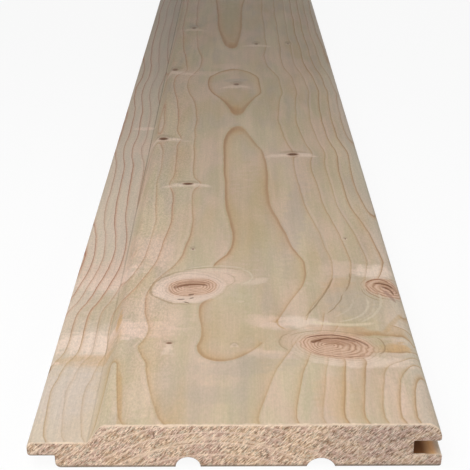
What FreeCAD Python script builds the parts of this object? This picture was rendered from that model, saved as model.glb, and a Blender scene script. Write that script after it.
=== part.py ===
"""Softwood tongue and groove board, one planed length of solid timber.

The frame is the board lying on its back: +Y runs along the grain, +X points to the
grooved edge, +Z out of the good face. The origin is the middle of the back.
Every size is in millimetres.
"""

import FreeCAD, Part
import Sketcher
import math
import os

FOLDER = "parts"
NODE = "tongue_and_groove_board"

# Driving sizes. The cutters are set from the shoulder under the tongue, so the relief
# channels are measured from it too.
SIZES = {
    "board_length": 1000.0,
    "board_thickness": 18.0,
    "cover_width": 135.5,
    "tongue_length": 9.5,
    "tongue_thickness": 5.4,
    "tongue_height": 5.2,
    "joint_clearance": 0.2,
    "joint_end_gap": 0.6,
    "lip_setback": 0.6,
    "recess_width": 21.3,
    "bevel_angle": 55.0,
    "bevel_head_radius": 1.5,
    "nose_radius": 6.0,
    "tongue_top_radius": 2.0,
    "tongue_under_radius": 1.2,
    "lip_radius": 0.9,
    "back_edge_radius": 2.0,
    "near_channel_place": 46.6,
    "near_channel_width": 8.8,
    "near_channel_depth": 4.2,
    "far_channel_place": 93.3,
    "far_channel_width": 10.0,
    "far_channel_depth": 3.6,
}

# What follows from them, in the words of the expressions.
OVERALL_WIDTH = "(sizes.cover_width + sizes.tongue_length)"
GROOVE_HEIGHT = "(sizes.tongue_thickness + 2 * sizes.joint_clearance)"
LOWER_LIP = "(sizes.tongue_height - sizes.joint_clearance)"
GROOVE_DEPTH = "(sizes.tongue_length + sizes.joint_end_gap)"

START = 1
END = 2
CENTRE = 3
ORIGIN = (-1, START)
BACK_LINE = -1


def vector(x, z):
    """A point of the section, in the sketch's own plane."""
    return FreeCAD.Vector(x, z, 0)


def make_sheet(doc):
    """The table of driving sizes, one named cell each."""
    sheet = doc.addObject("Spreadsheet::Sheet", "sizes")
    for row, (name, value) in enumerate(SIZES.items(), start=1):
        cell = "B" + str(row)
        sheet.set("A" + str(row), name)
        sheet.set(cell, str(value))
        sheet.setAlias(cell, name)
    doc.recompute()
    return sheet


def section_points(sheet):
    """Where the corners of the section lie, worked out from the driving sizes."""
    half = (sheet.cover_width + sheet.tongue_length) / 2
    lower_lip = sheet.tongue_height - sheet.joint_clearance
    groove_top = lower_lip + sheet.tongue_thickness + 2 * sheet.joint_clearance
    groove_floor = half - sheet.tongue_length - sheet.joint_end_gap
    tongue_top = sheet.tongue_height + sheet.tongue_thickness
    bevel_rise = sheet.board_thickness - tongue_top
    bevel_foot = sheet.recess_width - half
    bevel_head = bevel_foot + bevel_rise / math.tan(math.radians(sheet.bevel_angle))
    shoulder = sheet.tongue_length - half
    upper_lip = half - sheet.lip_setback
    return {
        "back_left": (shoulder, 0),
        "back_right": (half, 0),
        "lower_lip_top": (half, lower_lip),
        "groove_floor_low": (groove_floor, lower_lip),
        "groove_floor_high": (groove_floor, groove_top),
        "upper_lip_under": (upper_lip, groove_top),
        "upper_lip_face": (upper_lip, sheet.board_thickness),
        "bevel_head": (bevel_head, sheet.board_thickness),
        "bevel_foot": (bevel_foot, tongue_top),
        "tongue_tip_top": (-half, tongue_top),
        "tongue_tip_under": (-half, sheet.tongue_height),
        "shoulder_top": (shoulder, sheet.tongue_height),
    }


def channel_arc(shoulder, place, width, depth):
    """The arch of a relief channel in the back, with its two feet on the back."""
    radius = (width ** 2 / 4 + depth ** 2) / (2 * depth)
    centre = vector(shoulder + place, depth - radius)
    foot = math.atan2(radius - depth, width / 2)
    circle = Part.Circle(centre, FreeCAD.Vector(0, 0, 1), radius)
    return Part.ArcOfCircle(circle, foot, math.pi - foot)


def draw_section(sketch, sheet):
    """Draw the outline of the section and return the number of each stretch of it."""
    corner = {name: vector(*place) for name, place in section_points(sheet).items()}
    shoulder = corner["back_left"].x
    near = channel_arc(shoulder, sheet.near_channel_place,
                       sheet.near_channel_width, sheet.near_channel_depth)
    far = channel_arc(shoulder, sheet.far_channel_place,
                      sheet.far_channel_width, sheet.far_channel_depth)
    outline = [
        ("back_tongue_side", Part.LineSegment(corner["back_left"], near.EndPoint)),
        ("near_channel", near),
        ("back_middle", Part.LineSegment(near.StartPoint, far.EndPoint)),
        ("far_channel", far),
        ("back_groove_side", Part.LineSegment(far.StartPoint, corner["back_right"])),
    ]
    straight = {
        "lower_lip_tip": ("back_right", "lower_lip_top"),
        "groove_low_side": ("lower_lip_top", "groove_floor_low"),
        "groove_floor": ("groove_floor_low", "groove_floor_high"),
        "groove_high_side": ("groove_floor_high", "upper_lip_under"),
        "upper_lip_tip": ("upper_lip_under", "upper_lip_face"),
        "face": ("upper_lip_face", "bevel_head"),
        "bevel": ("bevel_head", "bevel_foot"),
        "tongue_top": ("bevel_foot", "tongue_tip_top"),
        "tongue_tip": ("tongue_tip_top", "tongue_tip_under"),
        "tongue_under": ("tongue_tip_under", "shoulder_top"),
        "shoulder": ("shoulder_top", "back_left"),
    }
    for name, (first, last) in straight.items():
        outline.append((name, Part.LineSegment(corner[first], corner[last])))
    return {name: sketch.addGeometry(curve) for name, curve in outline}


def join_ends(sketch, stretch):
    """Join each stretch to the next one. An arch starts at its groove side foot."""
    order = list(stretch)
    arches = ("near_channel", "far_channel")
    for name, following in zip(order, order[1:] + order[:1]):
        leave = START if name in arches else END
        enter = END if following in arches else START
        sketch.addConstraint(Sketcher.Constraint(
            "Coincident", stretch[name], leave, stretch[following], enter))


def keep_square(sketch, stretch):
    """Hold the flats level, the tips upright and the back on the floor."""
    for name in ("groove_low_side", "groove_high_side", "face", "tongue_top", "tongue_under"):
        sketch.addConstraint(Sketcher.Constraint("Horizontal", stretch[name]))
    for name in ("lower_lip_tip", "groove_floor", "upper_lip_tip", "tongue_tip", "shoulder"):
        sketch.addConstraint(Sketcher.Constraint("Vertical", stretch[name]))
    for name in ("back_tongue_side", "back_middle", "back_groove_side"):
        for end in (START, END):
            sketch.addConstraint(Sketcher.Constraint(
                "PointOnObject", stretch[name], end, BACK_LINE))


def size_constraint(sketch, name, kind, places, value, expression):
    """Add one sized constraint and bind it to the sheet."""
    number = sketch.addConstraint(Sketcher.Constraint(kind, *places, value))
    sketch.renameConstraint(number, name)
    sketch.setExpression("Constraints." + name, expression)


def span(sketch, name, axis, first, last, expression):
    """Hold the distance from first to last along an axis to what the sheet says."""
    start = sketch.getPoint(*first)
    end = sketch.getPoint(*last)
    value = end.x - start.x if axis == "DistanceX" else end.y - start.y
    size_constraint(sketch, name, axis, (*first, *last), value, expression)


def bind_section(sketch, stretch, sheet):
    """Tie the outline to the driving sizes."""
    tongue_tip = (stretch["tongue_tip"], START)
    tongue_under = (stretch["tongue_tip"], END)
    shoulder = (stretch["shoulder"], END)
    lower_lip = (stretch["lower_lip_tip"], START)
    lower_lip_top = (stretch["lower_lip_tip"], END)
    groove_low = (stretch["groove_floor"], START)
    groove_high = (stretch["groove_floor"], END)
    upper_lip = (stretch["upper_lip_tip"], END)
    bevel_foot = (stretch["bevel"], END)
    span(sketch, "half_width", "DistanceX", ORIGIN, lower_lip, OVERALL_WIDTH + " / 2")
    span(sketch, "overall_width", "DistanceX", tongue_tip, lower_lip, OVERALL_WIDTH)
    span(sketch, "board_thickness", "DistanceY", lower_lip, upper_lip, "sizes.board_thickness")
    span(sketch, "tongue_length", "DistanceX", tongue_tip, shoulder, "sizes.tongue_length")
    span(sketch, "tongue_height", "DistanceY", shoulder, tongue_under, "sizes.tongue_height")
    span(sketch, "tongue_thickness", "DistanceY", tongue_under, tongue_tip,
         "sizes.tongue_thickness")
    span(sketch, "lower_lip", "DistanceY", lower_lip, lower_lip_top, LOWER_LIP)
    span(sketch, "groove_height", "DistanceY", groove_low, groove_high, GROOVE_HEIGHT)
    span(sketch, "groove_depth", "DistanceX", groove_low, lower_lip_top, GROOVE_DEPTH)
    span(sketch, "lip_setback", "DistanceX", upper_lip, lower_lip, "sizes.lip_setback")
    span(sketch, "recess_width", "DistanceX", tongue_tip, bevel_foot, "sizes.recess_width")
    bevel = (stretch["bevel"], END)
    size_constraint(sketch, "bevel_angle", "Angle", (ORIGIN[0], START, *bevel),
                    math.radians(sheet.bevel_angle), "sizes.bevel_angle")
    for side in ("near", "far"):
        arch = stretch[side + "_channel"]
        size = "sizes." + side + "_channel_"
        radius = sketch.Geometry[arch].Radius
        arch_radius = "({0}width ^ 2 / 4 + {0}depth ^ 2) / (2 * {0}depth)".format(size)
        span(sketch, side + "_width", "DistanceX", (arch, END), (arch, START), size + "width")
        span(sketch, side + "_place", "DistanceX", shoulder, (arch, CENTRE), size + "place")
        size_constraint(sketch, side + "_radius", "Radius", (arch,), radius, arch_radius)


def origin_plane(body, role):
    """One of the body's own origin planes."""
    return next(part for part in body.Origin.OriginFeatures if part.Role == role)


def make_section(doc, body, sheet):
    """The section across the grain, as the moulder's cutters leave it."""
    sketch = body.newObject("Sketcher::SketchObject", "section")
    sketch.AttachmentSupport = (origin_plane(body, "XZ_Plane"), [""])
    sketch.MapMode = "FlatFace"
    stretch = draw_section(sketch, sheet)
    join_ends(sketch, stretch)
    keep_square(sketch, stretch)
    bind_section(sketch, stretch, sheet)
    doc.recompute()
    return sketch


def make_length(doc, body, section):
    """The section run along the grain, half of the length each way."""
    pad = body.newObject("PartDesign::Pad", "planed_length")
    pad.Profile = section
    pad.SideType = "Symmetric"
    pad.setExpression("Length", "sizes.board_length")
    doc.recompute()
    return pad


def edge_at(feature, place):
    """Name of the edge that runs the board's length through a corner of the section."""
    def distance(edge):
        middle = edge.BoundBox.Center
        return math.hypot(middle.x - place[0], middle.z - place[1])

    edges = feature.Shape.Edges
    lengthwise = [number for number, edge in enumerate(edges)
                  if edge.BoundBox.YLength > feature.Shape.BoundBox.YLength / 2]
    nearest = min(lengthwise, key=lambda number: distance(edges[number]))
    return "Edge" + str(nearest + 1)


def round_edges(doc, body, base, name, corners, radius):
    """Round the edges at these corners of the section."""
    fillet = body.newObject("PartDesign::Fillet", name)
    fillet.Base = (base, [edge_at(base, corner) for corner in corners])
    fillet.setExpression("Radius", radius)
    doc.recompute()
    return fillet


def make_board(doc, sheet):
    """The board: its section, its length and its rounded edges."""
    body = doc.addObject("PartDesign::Body", NODE)
    body.Label = NODE
    section = make_section(doc, body, sheet)
    blank = make_length(doc, body, section)
    corner = section_points(sheet)
    nose = round_edges(doc, body, blank, "nose",
                       [corner["upper_lip_face"]], "sizes.nose_radius")
    tongue_top = round_edges(doc, body, nose, "tongue_top_round",
                             [corner["tongue_tip_top"]], "sizes.tongue_top_radius")
    tongue_under = round_edges(doc, body, tongue_top, "tongue_under_round",
                               [corner["tongue_tip_under"]], "sizes.tongue_under_radius")
    lips = round_edges(doc, body, tongue_under, "lip_rounds",
                       [corner["upper_lip_under"], corner["lower_lip_top"],
                        corner["back_right"]], "sizes.lip_radius")
    back_edge = round_edges(doc, body, lips, "back_edge_round",
                            [corner["back_left"]], "sizes.back_edge_radius")
    bevel_head = round_edges(doc, body, back_edge, "bevel_head_round",
                             [corner["bevel_head"]], "sizes.bevel_head_radius")
    body.Tip = bevel_head
    doc.recompute()
    return body


def check(doc, bodies):
    """Stop before anything is written where a feature failed or a solid is not sound."""
    for item in doc.Objects:
        failed = [state for state in item.State if state in ("Invalid", "Error")]
        if failed:
            raise RuntimeError(item.Label + " is " + failed[0])
    for body in bodies:
        shape = body.Shape
        if shape.isNull() or not shape.isValid() or len(shape.Solids) != 1:
            raise RuntimeError(body.Label + " is not one sound solid")


def main():
    doc = FreeCAD.newDocument("board")
    sheet = make_sheet(doc)
    board = make_board(doc, sheet)
    check(doc, [board])
    os.makedirs(FOLDER, exist_ok=True)
    board.Shape.exportStep(os.path.join(FOLDER, board.Label + ".step"))
    box = board.Shape.BoundBox
    print("size", round(box.XLength, 3), round(box.YLength, 3), round(box.ZLength, 3))
    print("volume in litres", round(board.Shape.Volume / 1e6, 4))


main()
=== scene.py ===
# %% [markdown]
# # A planed tongue and groove board
#
# The board is one length of spruce, moulded on four sides: a tongue and a bevelled recess
# on the left, a rounded nose over a groove on the right, and two relief channels in the
# back. The solid from the frame gives its size and place. Here it gets a finer section,
# eased arrises, rough sawn ends and the wood itself: growth rings, knots and end grain.

# %% Load the frame
import math

import bmesh
import bpy
from mathutils import Matrix, Vector


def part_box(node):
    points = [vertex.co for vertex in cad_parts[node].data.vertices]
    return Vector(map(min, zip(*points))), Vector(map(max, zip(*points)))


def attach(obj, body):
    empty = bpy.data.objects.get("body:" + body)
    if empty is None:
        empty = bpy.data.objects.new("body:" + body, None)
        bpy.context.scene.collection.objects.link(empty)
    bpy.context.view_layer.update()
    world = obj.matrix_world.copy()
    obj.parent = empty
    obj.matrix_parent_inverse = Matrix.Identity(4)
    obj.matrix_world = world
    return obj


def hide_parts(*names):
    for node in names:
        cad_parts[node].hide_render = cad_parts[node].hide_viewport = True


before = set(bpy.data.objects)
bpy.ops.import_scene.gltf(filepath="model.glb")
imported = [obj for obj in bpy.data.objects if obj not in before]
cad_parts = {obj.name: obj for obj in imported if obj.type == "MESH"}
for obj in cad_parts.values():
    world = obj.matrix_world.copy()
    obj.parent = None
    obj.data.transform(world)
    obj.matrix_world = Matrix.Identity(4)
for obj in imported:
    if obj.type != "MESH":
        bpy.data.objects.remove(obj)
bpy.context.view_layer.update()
MM = 0.001
BOARD_NODE = "tongue_and_groove_board"
low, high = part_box(BOARD_NODE)
BOARD_LENGTH = high[1] - low[1]
BOARD_WIDTH = high[0] - low[0]
BOARD_THICKNESS = high[2] - low[2]
board_size = (BOARD_WIDTH, BOARD_LENGTH, BOARD_THICKNESS)
print("board from the frame", [round(side / MM, 2) for side in board_size])

# %% [markdown]
# The camera comes first, so that every later render can be laid over the photograph. The
# end of the board nearly fills the picture's width, and the long edges meet high above
# it. That gives the height, the distance and the tilt down; the lens follows from how
# thick the end looks beside its width.

# %% Camera
PICTURE_PIXELS = 470
FOCAL_PIXELS = 1000
SENSOR_WIDTH = 36.0
CAMERA_PLACE = (1.5 * MM, -780.8 * MM, 226.7 * MM)
CAMERA_TILT_DOWN = math.radians(25.86)
CAMERA_TURN = math.radians(0.18)
CAMERA_ROLL = math.radians(-0.37)

lens = bpy.data.cameras.new("view")
lens.sensor_width = SENSOR_WIDTH
lens.lens = FOCAL_PIXELS / PICTURE_PIXELS * SENSOR_WIDTH
camera = bpy.data.objects.new("view", lens)
camera.matrix_world = (
    Matrix.Translation(CAMERA_PLACE)
    @ Matrix.Rotation(CAMERA_TURN, 4, "Z")
    @ Matrix.Rotation(math.pi / 2 - CAMERA_TILT_DOWN, 4, "X")
    @ Matrix.Rotation(CAMERA_ROLL, 4, "Z")
)
bpy.context.scene.collection.objects.link(camera)
bpy.context.scene.camera = camera
print("lens", round(lens.lens, 1), "mm")

# %% [markdown]
# The section is drawn once, as a closed line of corners across the grain, in the order a
# moulder's cutters meet it. Only the corners are written: the relief channels are spun
# arcs, and the round edges are bevels of single corners, so each keeps its own radius.

# %% Section corners
SHOULDER = low[0] + 9.5 * MM
BEVEL_FOOT = low[0] + 21.3 * MM
BEVEL_HEAD = BEVEL_FOOT + 7.4 * MM / math.tan(math.radians(55))
TONGUE_UNDER = 5.2 * MM
TONGUE_TOP = TONGUE_UNDER + 5.4 * MM
GROOVE_LOW = TONGUE_UNDER - 0.2 * MM
GROOVE_HIGH = TONGUE_TOP + 0.2 * MM
GROOVE_FLOOR = high[0] - 10.1 * MM
UPPER_LIP = high[0] - 0.6 * MM
FACE = high[2]
BACK = low[2]

CHANNELS = [
    {"middle": SHOULDER + 46.6 * MM, "width": 8.8 * MM, "depth": 4.2 * MM},
    {"middle": SHOULDER + 93.3 * MM, "width": 10.0 * MM, "depth": 3.6 * MM},
]
CHANNEL_STEPS = 18

# Each corner: its place across and up, its radius and the flats that the round is cut into.
TINY_ROUND = 0.25 * MM
CORNERS = [
    (high[0], BACK, 0.9 * MM, 5),
    (high[0], GROOVE_LOW, 0.9 * MM, 5),
    (GROOVE_FLOOR, GROOVE_LOW, TINY_ROUND, 2),
    (GROOVE_FLOOR, GROOVE_HIGH, TINY_ROUND, 2),
    (UPPER_LIP, GROOVE_HIGH, 0.9 * MM, 5),
    (UPPER_LIP, FACE, 6.0 * MM, 18),
    (BEVEL_HEAD, FACE, 1.5 * MM, 6),
    (BEVEL_FOOT, TONGUE_TOP, TINY_ROUND, 2),
    (low[0], TONGUE_TOP, 2.0 * MM, 8),
    (low[0], TONGUE_UNDER, 1.2 * MM, 6),
    (SHOULDER, TONGUE_UNDER, TINY_ROUND, 2),
    (SHOULDER, BACK, 2.0 * MM, 8),
]


def spin_channel(bm, channel):
    """Spin one vertex over the arch of a relief channel and return the arch in order."""
    half = channel["width"] / 2
    depth = channel["depth"]
    radius = (half ** 2 + depth ** 2) / (2 * depth)
    centre = Vector((channel["middle"], 0, BACK + depth - radius))
    foot = bm.verts.new((channel["middle"] - half, 0, BACK))
    sweep = 2 * math.atan2(half, radius - depth)
    bmesh.ops.spin(bm, geom=[foot], cent=centre, axis=(0, 1, 0), angle=sweep,
                   steps=CHANNEL_STEPS, use_merge=False, use_duplicate=False)
    arch = [vert for vert in bm.verts if vert.is_valid and abs((vert.co - centre).length - radius) < 1e-6]
    arch.sort(key=lambda vert: vert.co.x)
    return arch


def draw_section(bm):
    """The closed outline of the section as one face, its corners rounded."""
    line = []
    for channel in CHANNELS:
        line += spin_channel(bm, channel)
    rounds = {}
    for across, up, radius, flats in CORNERS:
        corner = bm.verts.new((across, 0, up))
        rounds.setdefault((radius, flats), []).append(corner)
        line.append(corner)
    section = bm.faces.new(line)
    for (radius, flats), corners in rounds.items():
        bmesh.ops.bevel(bm, geom=corners, offset=radius, offset_type="OFFSET", segments=flats,
                        profile=0.5, affect="VERTICES", clamp_overlap=False, material=-1)
    return section


# %% [markdown]
# The section is then drawn out along the grain, as the board was fed past the cutters.
# Its ends were cut by a saw afterwards, so they get their own eased arris, and rows of
# edges close behind it, where the wood frays.

# %% Draw the section out into a board
END_ARRIS = 0.4 * MM
ARRIS_FLATS = 3


def draw_out(bm):
    """Extrude the section to the board's length and ease both sawn ends."""
    bmesh.ops.translate(bm, verts=bm.verts, vec=(0, low[1], 0))
    drawn = bmesh.ops.extrude_face_region(bm, geom=list(bm.faces), use_keep_orig=True)
    moved = [item for item in drawn["geom"] if isinstance(item, bmesh.types.BMVert)]
    bmesh.ops.translate(bm, verts=moved, vec=(0, BOARD_LENGTH, 0))
    bmesh.ops.recalc_face_normals(bm, faces=bm.faces)
    caps = [face for face in bm.faces if abs(face.normal.y) > 0.9]
    rim = list({edge for cap in caps for edge in cap.edges})
    bmesh.ops.bevel(bm, geom=rim, offset=END_ARRIS, offset_type="OFFSET", segments=ARRIS_FLATS,
                    profile=0.5, affect="EDGES", clamp_overlap=True, material=-1)


def finish_mesh(bm, name, sharp_angle=math.radians(35)):
    """Write a bmesh to a new object, smooth but for its real arrises."""
    for face in bm.faces:
        face.smooth = True
    for edge in bm.edges:
        edge.smooth = edge.calc_face_angle(math.pi) < sharp_angle
    mesh = bpy.data.meshes.new(name)
    bm.to_mesh(mesh)
    bm.free()
    piece = bpy.data.objects.new(name, mesh)
    bpy.context.scene.collection.objects.link(piece)
    return piece


bm = bmesh.new()
draw_section(bm)
outline = [corner.co.xz for face in bm.faces for corner in face.verts]
print("corners round the section", len(outline))
draw_out(bm)

# %% [markdown]
# The wood can also be given as a picture wrapped round the board. The board is long and thin, so an even
# map would waste most of that picture. This one lays the moulded sides out as one strip, stretched across
# the grain, where the lines are fine. The back gets less of it than the good face, and both sawn ends lie
# above the strip, enlarged.

# %% Lay the board out for a picture
MAP_NAME = "OFBake"
STRIP_SHARE = 0.76
END_SHARE = 0.10
MAP_GAP = 0.012
ARRIS_SHARE = 0.007


def stretch(here, there):
    """How much room a stretch of the outline gets, beside its length."""
    if max(here.y, there.y) < BACK + 0.1 * MM:
        return 0.5
    in_groove = min(here.x, there.x) > GROOVE_FLOOR - 0.1 * MM and max(here.y, there.y) < GROOVE_HIGH
    return 1.0 if in_groove else 2.0


def lay_out(bm, outline):
    """Map the moulded sides as one strip and the two ends above it."""
    reached = [0.0]
    for here, there in zip(outline, outline[1:] + outline[:1]):
        reached.append(reached[-1] + (there - here).length * stretch(here, there))
    inner = BOARD_LENGTH / 2 - END_ARRIS
    layer = bm.loops.layers.uv.new(MAP_NAME)
    for face in bm.faces:
        if abs(face.normal.y) > 0.9:
            base = STRIP_SHARE + 2 * MAP_GAP + (face.normal.y > 0) * (END_SHARE + MAP_GAP)
            for loop in face.loops:
                across = (loop.vert.co.x - low[0]) / BOARD_WIDTH
                up = (loop.vert.co.z - BACK) / BOARD_THICKNESS
                loop[layer].uv = (MAP_GAP + across * (1 - 2 * MAP_GAP), base + up * END_SHARE)
            continue
        nearest = [min(range(len(outline)), key=lambda at: (outline[at] - loop.vert.co.xz).length_squared)
                   for loop in face.loops]
        places = [reached[at] for at in nearest]
        if max(places) - min(places) > reached[-1] / 2:
            places = [place or reached[-1] for place in places]
        for loop, place in zip(face.loops, places):
            y = loop.vert.co.y
            past = max(abs(y) - inner, 0.0) / END_ARRIS * ARRIS_SHARE
            along = 0.5 + max(-inner, min(y, inner)) / inner * (0.5 - MAP_GAP) + math.copysign(past, y)
            loop[layer].uv = (along, MAP_GAP + place / reached[-1] * STRIP_SHARE)


lay_out(bm, outline)
board = finish_mesh(bm, "board")
print("faces of the board", len(board.data.polygons))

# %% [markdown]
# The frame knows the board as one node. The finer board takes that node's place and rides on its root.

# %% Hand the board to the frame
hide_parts(BOARD_NODE)
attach(board, "root")

# %% [markdown]
# The wood is worked out in millimetres from the board's own coordinates, so the rings
# run through the solid: the face, the moulded edges, the ends and the back all cut the
# same growth. It could be painted instead, but paint stops at an arris. Two small classes
# keep the node recipes short enough to read: one adds the nodes, and the other stands for
# what a node gives, so that plain sums in the code become Math nodes.

# %% A short way to write node recipes
class Result:
    """What a node gives. Each sum with it adds one Math node."""

    def __init__(self, recipe, socket):
        self.recipe = recipe
        self.socket = socket

    def math(self, operation, *others):
        return self.recipe.math(operation, self, *others)

    def __add__(self, other):
        return self.math("ADD", other)

    def __radd__(self, other):
        return self.recipe.math("ADD", other, self)

    def __sub__(self, other):
        return self.math("SUBTRACT", other)

    def __rsub__(self, other):
        return self.recipe.math("SUBTRACT", other, self)

    def __mul__(self, other):
        return self.math("MULTIPLY", other)

    def __truediv__(self, other):
        return self.math("DIVIDE", other)

    def __rtruediv__(self, other):
        return self.recipe.math("DIVIDE", other, self)

    def __pow__(self, power):
        return self.math("POWER", power)

    def __abs__(self):
        return self.math("ABSOLUTE")

    def mix(self, share, other, blend="MIX"):
        """This colour where share is 0, the other where it is 1."""
        return self.recipe.mix(share, self, other, blend)

    def fade(self, start, end, low=0.0, high=1.0):
        """Low before start, high after end, with an eased slope between them."""
        ends = {"Value": self, "From Min": start, "From Max": end, "To Min": low, "To Max": high}
        return self.recipe.add("ShaderNodeMapRange", ends, interpolation_type="SMOOTHSTEP", clamp=False)


class Recipe:
    """A node tree, with one short method for each kind of node that it needs."""

    def __init__(self, tree):
        self.tree = tree

    def add(self, kind, inputs, output=0, **settings):
        """Add a node, feed its inputs and return one of its outputs."""
        node = self.tree.nodes.new(kind)
        for name, value in settings.items():
            setattr(node, name, value)
        for socket, value in inputs.items():
            self.feed(node.inputs[socket], value)
        return Result(self, node.outputs[output])

    def feed(self, socket, value):
        """Link a result to a socket, or set the socket's own number or colour."""
        if isinstance(value, Result):
            self.tree.links.new(value.socket, socket)
        else:
            socket.default_value = value

    def math(self, operation, *values):
        return self.add("ShaderNodeMath", dict(enumerate(values)), operation=operation)

    def parts(self, vector):
        """The three numbers of a vector."""
        node = self.add("ShaderNodeSeparateXYZ", {0: vector}).socket.node
        return [Result(self, socket) for socket in node.outputs]

    def noise(self, here, sizes, apart=0, slant=0.0, detail=2.0, roughness=0.5):
        """Smooth noise from 0 to 1, in lumps of about these sizes in millimetres. It looks
        different for each value of apart, and slant turns its lumps about the grain."""
        lump = [size * MM for size in sizes]
        moved = [side * apart for side in lump]
        place = {"Vector": here, "Scale": lump, "Location": moved, "Rotation": (0.0, slant, 0.0)}
        mapped = self.add("ShaderNodeMapping", place, vector_type="TEXTURE")
        return self.add("ShaderNodeTexNoise", {"Vector": mapped, "Scale": 1.0, "Detail": detail,
                                               "Roughness": roughness})

    def chance(self, value):
        """A different number from 0 to 1 for each value."""
        return self.add("ShaderNodeTexWhiteNoise", {"W": value}, noise_dimensions="1D")

    def along(self, value, lowest, highest, points):
        """A smooth line through points of (value, height), for value from lowest to highest."""
        heights = [height for _, height in points]
        floor, top = min(heights) - 1, max(heights) + 1
        line = self.add("ShaderNodeFloatCurve", {"Value": (value - lowest) / (highest - lowest)})
        mapping = line.socket.node.mapping
        curve = mapping.curves[0]
        places = [((at - lowest) / (highest - lowest), (height - floor) / (top - floor))
                  for at, height in points]
        curve.points[0].location = places[0]
        curve.points[-1].location = places[-1]
        for place in places[1:-1]:
            curve.points.new(*place)
        mapping.update()
        return line * (top - floor) + floor

    def mix(self, share, a, b, blend="MIX"):
        """Colour a where share is 0, colour b where it is 1."""
        return self.add("ShaderNodeMix", {0: share, 6: a, 7: b}, output=2, data_type="RGBA",
                        blend_type=blend)

    def use(self, group, **inputs):
        """Use a finished group of nodes and return its only output."""
        return self.add("ShaderNodeGroup", inputs, node_tree=group)


def make_group(name, numbers, fill, colour=False):
    """A group of nodes: fill gets a recipe and the group's inputs by name. A group that works
    on a colour takes it as one more input, and gives a colour back."""
    tree = bpy.data.node_groups.new(name, "ShaderNodeTree")
    for socket in numbers.split(", "):
        tree.interface.new_socket(socket, in_out="INPUT", socket_type="NodeSocketFloat")
    if colour:
        tree.interface.new_socket("colour", in_out="INPUT", socket_type="NodeSocketColor")
    gives = "NodeSocketColor" if colour else "NodeSocketFloat"
    tree.interface.new_socket("result", in_out="OUTPUT", socket_type=gives)
    start = tree.nodes.new("NodeGroupInput")
    finish = tree.nodes.new("NodeGroupOutput")
    recipe = Recipe(tree)
    given = {socket.name: Result(recipe, socket) for socket in start.outputs}
    recipe.feed(finish.inputs[0], fill(recipe, given))
    return tree


def srgb(red, green, blue):
    """A colour as a picture shows it, from 0 to 255, in the renderer's linear light."""
    def linear(part):
        part = part / 255
        return part / 12.92 if part <= 0.04045 else ((part + 0.055) / 1.055) ** 2.4
    return (linear(red), linear(green), linear(blue), 1.0)

# %% [markdown]
# Growth rings are tubes about the pith, the heart of the stem. On this board the pith lies
# about 61 mm below the back, so the end shows low arches, and the face, which nearly
# touches the tubes, shows long islands. The stem wasn't quite straight: where the pith
# rises or sinks by a millimetre or two, an island opens or closes. Both lines give the
# pith's place along the board, in millimetres from the middle of its length.

# %% The stem that the board was sawn from
PITH_BELOW_BACK = 61.0
FACE_MM = FACE / MM
HALF_MM = BOARD_LENGTH / 2 / MM
FACE_RING = PITH_BELOW_BACK + FACE_MM
RING_GAP = 4.5
RING_CROWDING = 0.0063
BRANCH_SLOPE = 0.25
WANDER = 3.0
TREMBLE = 1.2

PITH_SIDEWAYS = [
    (-500, -5.5), (-478, -7.5), (-462, -5.0), (-450, -1.5), (-437, 2.5), (-417, 3.5), (-400, 8.0),
    (-385, 10.5), (-365, 12.0), (-340, 10.5), (-300, 6.5), (-250, 6.0), (-228, 3.5), (-205, 1.9),
    (-170, 1.5), (-140, 1.5), (-107, -0.5), (-60, -0.8), (-18, -2.5), (20, -3.6), (60, -4.3),
    (160, -4.1), (260, 1.0), (380, 4.0), (500, -2.0),
]
PITH_RISE = [
    (-500, -2.6), (-475, -1.1), (-461, -0.1), (-455, 0.6), (-447, 1.2), (-437, 1.5), (-417, 2.4),
    (-400, 2.8), (-385, 2.6), (-370, 1.7), (-350, 1.1), (-300, 0.85), (-250, 1.0), (-230, 0.7),
    (-210, 0.3), (-196, 0.0), (-187, -0.2), (-177, 0.0), (-160, 0.25), (-140, 0.95), (-122, 2.0),
    (-105, 2.1), (-87, 1.3), (-73, 0.0), (-60, -0.6), (-45, -0.75), (-30, -0.4), (-18, 0.0),
    (-8, 0.15), (20, 0.4), (50, 0.66), (110, 0.85), (160, 1.2), (230, 1.6), (290, 0.5),
    (340, -0.5), (390, 0.8), (440, 2.3), (500, 1.4),
]


def wood_place(recipe):
    """The place in millimetres, and the same point led back to the face along its branch."""
    here = recipe.add("ShaderNodeTexCoord", {}, output="Object")
    grown = recipe.add("ShaderNodeVectorMath", {0: here, 1: [1 / MM] * 3}, operation="MULTIPLY")
    x, y, z = recipe.parts(grown)
    sideways = recipe.along(y, -HALF_MM, HALF_MM, PITH_SIDEWAYS)
    rise = recipe.along(y, -HALF_MM, HALF_MM, PITH_RISE)
    depth = z + PITH_BELOW_BACK - rise
    offset = (x - sideways) * FACE_RING / depth
    return {"here": here, "x": x, "y": y, "z": z, "sideways": sideways, "depth": depth,
            "flat": {"x": offset + sideways, "y": y - (FACE_MM - z) * BRANCH_SLOPE}}


# %% [markdown]
# Three branches and some twigs run out through the board. The rings part round each, as
# a stream parts round a stone. A knot's sizes are half widths across and along the board,
# in millimetres. Its own rings run round a flat slit, which lies off the middle by heart.

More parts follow.
